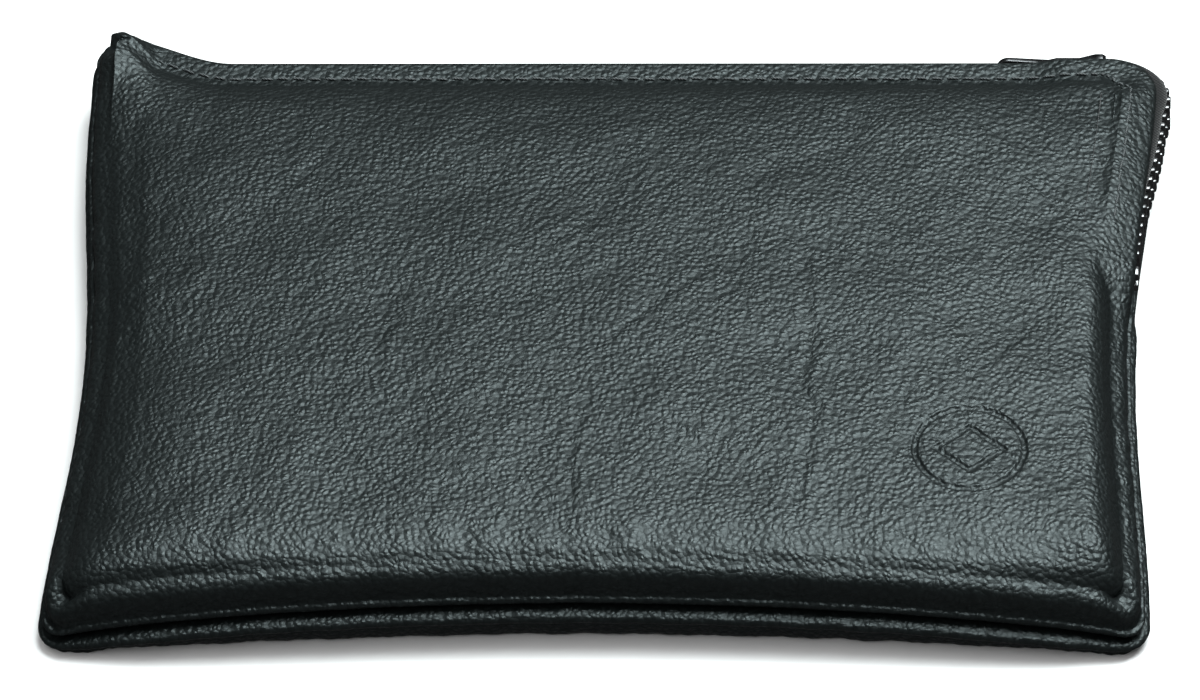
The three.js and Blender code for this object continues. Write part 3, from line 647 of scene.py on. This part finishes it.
def tooth_template():
    """One tooth as a loop of (along, rise) at four depths, so that its edges are bevelled."""
    half = [
        (0.0, -0.62), (0.36, -0.58), (0.56, -0.36), (0.6, 0.0), (0.52, 0.35), (0.42, 0.8),
        (0.46, 1.3), (0.72, 1.75), (0.78, 2.3), (0.7, 2.75), (0.35, 2.85),
    ]
    loop = np.array(half + [(-a, r) for a, r in half[:0:-1]])
    middle = np.array([0.0, 1.1])
    inner = middle + (loop - middle) * np.array([0.76, 0.93])
    bevel = 0.28
    layers = [
        (inner, CHAIN_INNER), (loop, CHAIN_INNER + bevel), (loop, CHAIN_OUTER - bevel), (inner, CHAIN_OUTER),
    ]
    points = np.concatenate([np.column_stack([l, np.full(len(l), out)]) for l, out in layers])
    n = len(loop)
    faces = [[r * n + i, r * n + (i + 1) % n, (r + 1) * n + (i + 1) % n, (r + 1) * n + i]
             for r in range(3) for i in range(n)]
    faces += [list(range(n))[::-1], [3 * n + i for i in range(n)]]
    return points, faces


def teeth_piece(name, side):
    """One row of teeth. The two rows are half a pitch apart."""
    points, faces = tooth_template()
    first = 0.4 + 0.575 + (0 if side > 0 else TOOTH_PITCH / 2)
    centres = np.arange(first, CHAIN_LENGTH - 1.2, TOOTH_PITCH)
    all_points, all_faces = [], []
    for k, centre in enumerate(centres):
        at = zip_stations(centre + points[:, 0])
        rise = points[:, 1] + spread(np.full(len(points), centre))
        all_points.append(at.place(at.tuck - points[:, 2], rise, side))
        offset = k * len(points)
        for face in faces:
            shifted = [offset + i for i in face]
            all_faces.append(shifted if side > 0 else shifted[::-1])
    return new_object(name, np.concatenate(all_points), all_faces)


def stitches_piece(name, side):
    """A row of separate stitches along the hem, each a short thread whose ends dip into the leather."""
    around, steps = 8, 9
    t = np.linspace(-1, 1, steps)
    angle = np.linspace(0, 2 * math.pi, around, endpoint=False)
    a_along = ((t * STITCH_HALF)[:, None] + 0 * angle[None]).ravel()
    radius = (STITCH_RADIUS * np.sqrt(np.clip(1 - t**4, 0.02, 1)))[:, None]
    lift = (0.2 - 0.42 * t**4)[:, None]
    a_inset = (radius * np.cos(angle)[None]).ravel()
    a_rise = (lift + radius * np.sin(angle)[None]).ravel()
    slant = 0.14 * (a_along / 1.6)
    points, faces = [], []
    centres = np.arange(-20.0, CHAIN_LENGTH - 5, STITCH_PITCH)
    for k, centre in enumerate(centres):
        wobble = rng.uniform(-0.12, 0.12, 2)
        at = zip_stations(centre + a_along)
        tilt = STITCH_INSET * at.hem_tilt if side > 0 else 0
        rise = mix(5.4, HEM + 0.06 + at.gape + tilt, at.zip) + a_rise + 0.12
        points.append(at.place(STITCH_INSET + wobble[0] + slant + a_inset, rise, side))
        base = k * around * steps
        for s in range(steps - 1):
            for i in range(around):
                j = (i + 1) % around
                this, after = base + s * around, base + (s + 1) * around
                quad = [this + i, this + j, after + j, after + i]
                faces.append(quad if side < 0 else quad[::-1])
        start = list(range(base, base + around))
        end = [i + (steps - 1) * around for i in start]
        faces += [start, end[::-1]] if side > 0 else [start[::-1], end]
    return new_object(name, np.concatenate(points), faces)


tapes = {1: tape_piece("zip_ribbon_front", 1), -1: tape_piece("zip_ribbon_back", -1)}
tails = {1: tape_end_piece("ribbon_tail_front", 1), -1: tape_end_piece("ribbon_tail_back", -1)}
teeth = {1: teeth_piece("zip_row_front", 1), -1: teeth_piece("zip_row_back", -1)}
stitches = {1: stitches_piece("hem_stitches_front", 1), -1: stitches_piece("hem_stitches_back", -1)}


def bevelled_copy(node, name, width):
    """A copy of a CAD node's mesh with its edges rounded."""
    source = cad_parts[node]
    mesh = source.data.copy()
    mesh.name = name
    piece = bpy.data.objects.new(name, mesh)
    bpy.context.scene.collection.objects.link(piece)
    piece.matrix_world = source.matrix_world
    weld = piece.modifiers.new("weld", "WELD")
    weld.merge_threshold = 1e-6
    plane = piece.modifiers.new("plane", "DECIMATE")
    plane.decimate_type = "DISSOLVE"
    plane.angle_limit = math.radians(1)
    bevel = piece.modifiers.new("bevel", "BEVEL")
    bevel.width, bevel.segments, bevel.limit_method = width * MM, 3, "ANGLE"
    bevel.angle_limit = math.radians(28)
    bevel.harden_normals = True
    graph = bpy.context.evaluated_depsgraph_get()
    final = bpy.data.meshes.new_from_object(piece.evaluated_get(graph))
    piece.modifiers.clear()
    piece.data = final
    final.shade_smooth()
    return piece


# CAD node: (piece, bevel width, body)
METAL_NODES = {
    "slider_body": ("zip_slider", 0.22, "slider"),
    "slider_crown": ("zip_crown", 0.2, "slider"),
    "slider_lock_spring": ("zip_lock", 0.06, "slider"),
    "pull_tab": ("zip_tab", 0.3, "pull_tab"),
    "zip_bottom_stop": ("chain_stop", 0.25, "back_shell"),
    "zip_top_stop_front": ("chain_end_front", 0.25, "front_shell"),
    "zip_top_stop_back": ("chain_end_back", 0.25, "back_shell"),
}
metal_pieces = {
    node: bevelled_copy(node, name, width) for node, (name, width, _) in METAL_NODES.items()
}


# ---------------------------------------------------------------- materials

class Nodes:
    """Builds one procedural material."""

    def __init__(self, name, roughness, metallic=0.0, specular=0.5):
        self.material = bpy.data.materials.new(name)
        self.material.use_nodes = True
        self.tree = self.material.node_tree
        self.shader = self.tree.nodes["Principled BSDF"]
        self.shader.inputs["Roughness"].default_value = roughness
        self.shader.inputs["Metallic"].default_value = metallic
        self.shader.inputs["Specular IOR Level"].default_value = specular
        self.where = self.tree.nodes.new("ShaderNodeTexCoord").outputs["Object"]

    def add(self, kind, inputs=None, **settings):
        node = self.tree.nodes.new(kind)
        for key, value in settings.items():
            setattr(node, key, value)
        for key, value in (inputs or {}).items():
            if isinstance(value, bpy.types.NodeSocket):
                self.tree.links.new(value, node.inputs[key])
            else:
                node.inputs[key].default_value = value
        return node

    def noise(self, scale, detail=3.0, roughness=0.5, distortion=0.0):
        return self.add(
            "ShaderNodeTexNoise",
            {"Vector": self.where, "Scale": scale, "Detail": detail,
             "Roughness": roughness, "Distortion": distortion},
        ).outputs["Fac"]

    def cells(self, scale, where):
        return self.add(
            "ShaderNodeTexVoronoi", {"Vector": where, "Scale": scale}, feature="F1"
        ).outputs["Distance"]

    def math(self, operation, a, b=0.0, c=0.0):
        return self.add("ShaderNodeMath", {0: a, 1: b, 2: c}, operation=operation).outputs[0]

    def vector(self, operation, inputs):
        return self.add("ShaderNodeVectorMath", inputs, operation=operation).outputs[0]

    def remap(self, value, low, high, to_low, to_high):
        return self.add(
            "ShaderNodeMapRange",
            {"Value": value, "From Min": low, "From Max": high, "To Min": to_low, "To Max": to_high},
        ).outputs["Result"]

    def blend(self, share, dark, light):
        node = self.add("ShaderNodeMix", data_type="RGBA")
        self.tree.links.new(share, node.inputs[0])
        node.inputs[6].default_value = (*dark, 1)
        node.inputs[7].default_value = (*light, 1)
        return node.outputs[2]

    def bump(self, height, distance, strength=1.0, normal=None):
        inputs = {"Height": height, "Distance": distance, "Strength": strength}
        if normal is not None:
            inputs["Normal"] = normal
        return self.add("ShaderNodeBump", inputs).outputs["Normal"]

    def finish(self, **links):
        for key, socket in links.items():
            self.tree.links.new(socket, self.shader.inputs[key.replace("_", " ")])
        return self.material


def leather_material():
    """Fine pebbles in warped cells, over long soft ridges, with duller valleys between them. The valleys also
    get painted shade: a darker base colour.
    """
    m = Nodes("black_leather", 0.4)
    m.shader.inputs["Specular Tint"].default_value = (0.86, 0.98, 1.0, 1)
    warp = m.add("ShaderNodeTexNoise", {"Vector": m.where, "Scale": 260.0, "Detail": 2.0})
    moved = m.vector("SUBTRACT", {0: warp.outputs["Color"], 1: (0.5, 0.5, 0.5)})
    where = m.vector("ADD", {0: m.where, 1: m.vector("SCALE", {0: moved, "Scale": 0.0016})})
    pebbles = m.cells(760.0, where)
    fine = m.noise(1500.0, 4.0, 0.6)
    creases = m.noise(190.0, 5.0, 0.62, 1.2)
    ridges = m.math("ABSOLUTE", m.math("SUBTRACT", creases, 0.5))
    height = m.math("MULTIPLY_ADD", pebbles, -1.0, m.math("MULTIPLY", fine, 0.25))
    normal = m.bump(ridges, 0.00025, 0.5)
    normal = m.bump(height, 0.0003, 1.0, normal)
    # Painted shade: the base colour is darker in the pebbles' valleys, where shade falls.
    valley = m.remap(pebbles, 0.25, 0.75, 1.0, 0.35)
    color = m.blend(valley, (0.002, 0.003, 0.003), (0.0045, 0.006, 0.006))
    rough = m.remap(m.math("ADD", pebbles, m.math("MULTIPLY", fine, 0.5)), 0.35, 0.95, 0.36, 0.5)
    return m.finish(Base_Color=color, Roughness=rough, Normal=normal)


def cloth_material(name, dark, light, scale):
    """A plain weave: two crossed sets of threads."""
    m = Nodes(name, 0.9, specular=0.3)
    x, y, z = (m.add("ShaderNodeSeparateXYZ", {0: m.where}).outputs[i] for i in range(3))
    wave_a = m.math("SINE", m.math("MULTIPLY", x, scale))
    wave_b = m.math("SINE", m.math("MULTIPLY", m.math("ADD", y, z), scale))
    weave = m.math("MULTIPLY", wave_a, wave_b)
    share = m.remap(m.math("ADD", weave, m.math("MULTIPLY", m.noise(900.0), 0.6)), -1.0, 1.4, 0.0, 1.0)
    m.shader.inputs["Sheen Weight"].default_value = 0.15
    return m.finish(Base_Color=m.blend(share, dark, light), Normal=m.bump(weave, 0.00012, 0.7))


def thread_material():
    """Twisted thread: diagonal bands."""
    m = Nodes("black_thread", 0.55)
    ply = m.add(
        "ShaderNodeTexWave", {"Vector": m.where, "Scale": 900.0, "Distortion": 1.0},
        bands_direction="DIAGONAL",
    )
    color = m.blend(ply.outputs["Fac"], (0.02, 0.024, 0.025), (0.075, 0.085, 0.088))
    return m.finish(Base_Color=color, Normal=m.bump(ply.outputs["Fac"], 0.00008, 0.8))


def metal_material(name, dark, light, roughness):
    """Plated metal with cloudy wear and a fine grain."""
    m = Nodes(name, roughness, metallic=1.0)
    wear = m.noise(420.0, 5.0, 0.65)
    color = m.blend(m.remap(wear, 0.35, 0.65, 0.0, 1.0), dark, light)
    rough = m.remap(m.noise(900.0, 3.0), 0.3, 0.7, roughness - 0.08, roughness + 0.1)
    return m.finish(Base_Color=color, Roughness=rough, Normal=m.bump(m.noise(2400.0), 0.00003, 0.5))


leather = leather_material()
lining = cloth_material("grey_lining", (0.03, 0.031, 0.033), (0.075, 0.078, 0.082), 9000.0)
ribbon = cloth_material("black_ribbon", (0.003, 0.0033, 0.0036), (0.01, 0.0105, 0.011), 7000.0)
thread = thread_material()
# Painted shade: the teeth and chain stops get a far darker colour than their bright plated metal, so that the
# chain shows dark.
chain_metal_with_painted_shade = metal_material("steel_darkened_by_painted_shade", (0.1, 0.104, 0.106), (0.26, 0.265, 0.27), 0.3)
slider_metal = metal_material("dark_nickel", (0.07, 0.072, 0.075), (0.16, 0.165, 0.17), 0.3)


def dress(piece, material):
    piece.data.materials.clear()
    piece.data.materials.append(material)


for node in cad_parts.values():
    dress(node, leather)
dress(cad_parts["seam_thread"], thread)


# ---------------------------------------------------------------- what each piece stands for and moves with

def bend_with_mouth(piece):
    """Bakes a soft front piece's transform and works out the share of the opening turn at each point, which
    grows from 0 at the seam to 1 at the mouth. The share is neither stored nor used."""
    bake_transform(piece)
    co = np.empty(len(piece.data.vertices) * 3)
    piece.data.vertices.foreach_get("co", co)
    x, y = co[0::3] / MM, co[1::3] / MM
    from_left = np.clip((x + HALF_W) / LOOSE_LEFT, 0, 1)
    sewn_right = 1 - smooth(y, MOUTH_END_Y - 30, MOUTH_END_Y + 24)
    from_right = mix(1, np.clip((HALF_W - x) / LOOSE_RIGHT, 0, 1), sewn_right)
    from_bottom = np.clip((y + HALF_H) / LOOSE_BOTTOM, 0, 1)
    share = np.ones_like(x)
    for value in (from_left, from_right, from_bottom):
        share = share * value * value * (3 - 2 * value)


# (piece, body, material slot, material, CAD nodes that it replaces)
PIECES = [
    (back_leather, "back_shell", "leather", leather, ["back_panel"]),
    (back_cloth, "back_shell", "lining", lining, ["back_lining"]),
    (tapes[-1], "back_shell", "tape", ribbon, ["zip_tape_back"]),
    (tails[-1], "back_shell", "tape", ribbon, ["zip_tape_end_back"]),
    (teeth[-1], "back_shell", "teeth", chain_metal_with_painted_shade, ["zip_teeth_back"]),
    (stitches[-1], "back_shell", "thread", thread, ["topstitch_back"]),
    (front_leather, "front_shell", "leather", leather, ["front_panel"]),
    (front_cloth, "front_shell", "lining", lining, ["front_lining"]),
    (tapes[1], "front_shell", "tape", ribbon, ["zip_tape_front"]),
    (tails[1], "back_shell", "tape", ribbon, ["zip_tape_end_front"]),
    (teeth[1], "front_shell", "teeth", chain_metal_with_painted_shade, ["zip_teeth_front"]),
    (stitches[1], "front_shell", "thread", thread, ["topstitch_front"]),
]
for node, (_, _, body) in METAL_NODES.items():
    slot = "slider" if body in ("slider", "pull_tab") else "teeth"
    metal = slider_metal if slot == "slider" else chain_metal_with_painted_shade
    PIECES.append((metal_pieces[node], body, slot, metal, [node]))
# These pieces of the front are not attached to a body and do not turn with it; their transforms are only
# baked.
SOFT_FRONT = (front_leather, front_cloth, tapes[1], teeth[1], stitches[1])
for piece, body, slot, material, nodes in PIECES:
    dress(piece, material)
    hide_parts(*nodes)
    if piece in SOFT_FRONT:
        bend_with_mouth(piece)
    else:
        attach(piece, body)


# ---------------------------------------------------------------- floor and light

def area_light(name, position, target, size, power, color=(1, 1, 1), shine=True):
    data = bpy.data.lights.new(name, "AREA")
    data.shape, data.size, data.size_y = "RECTANGLE", size[0], size[1]
    data.energy, data.color = power, color
    light = bpy.data.objects.new(name, data)
    bpy.context.scene.collection.objects.link(light)
    light.location = position
    light.rotation_euler = (Vector(target) - Vector(position)).to_track_quat("-Z", "Y").to_euler()
    light.visible_glossy = shine


def floor():
    half = 6.0
    corners = [(-half, -half, 0), (half, -half, 0), (half, half, 0), (-half, half, 0)]
    plane = new_object("floor", corners, [[0, 1, 2, 3]], 1.0)
    plane.location.z = -0.0002
    m = Nodes("pale_floor", 0.9, specular=0.1)
    m.shader.inputs["Base Color"].default_value = (0.9, 0.9, 0.9, 1)
    dress(plane, m.material)
    plane.visible_glossy = False


floor()
area_light("key", (0.42, 0.36, 1.35), (0.15, 0.2, 0), (1.0, 1.1), 46, (0.93, 1.0, 1.0))
area_light("fill", (-0.3, -0.9, 1.9), (0, 0, 0), (1.8, 1.8), 22, shine=False)
world = bpy.data.worlds.new("studio")
world.use_nodes = True
background = world.node_tree.nodes["Background"]
background.inputs["Color"].default_value = (1, 1, 1, 1)
background.inputs["Strength"].default_value = 0.06
bpy.context.scene.world = world
bpy.context.scene.view_settings.view_transform = "Standard"
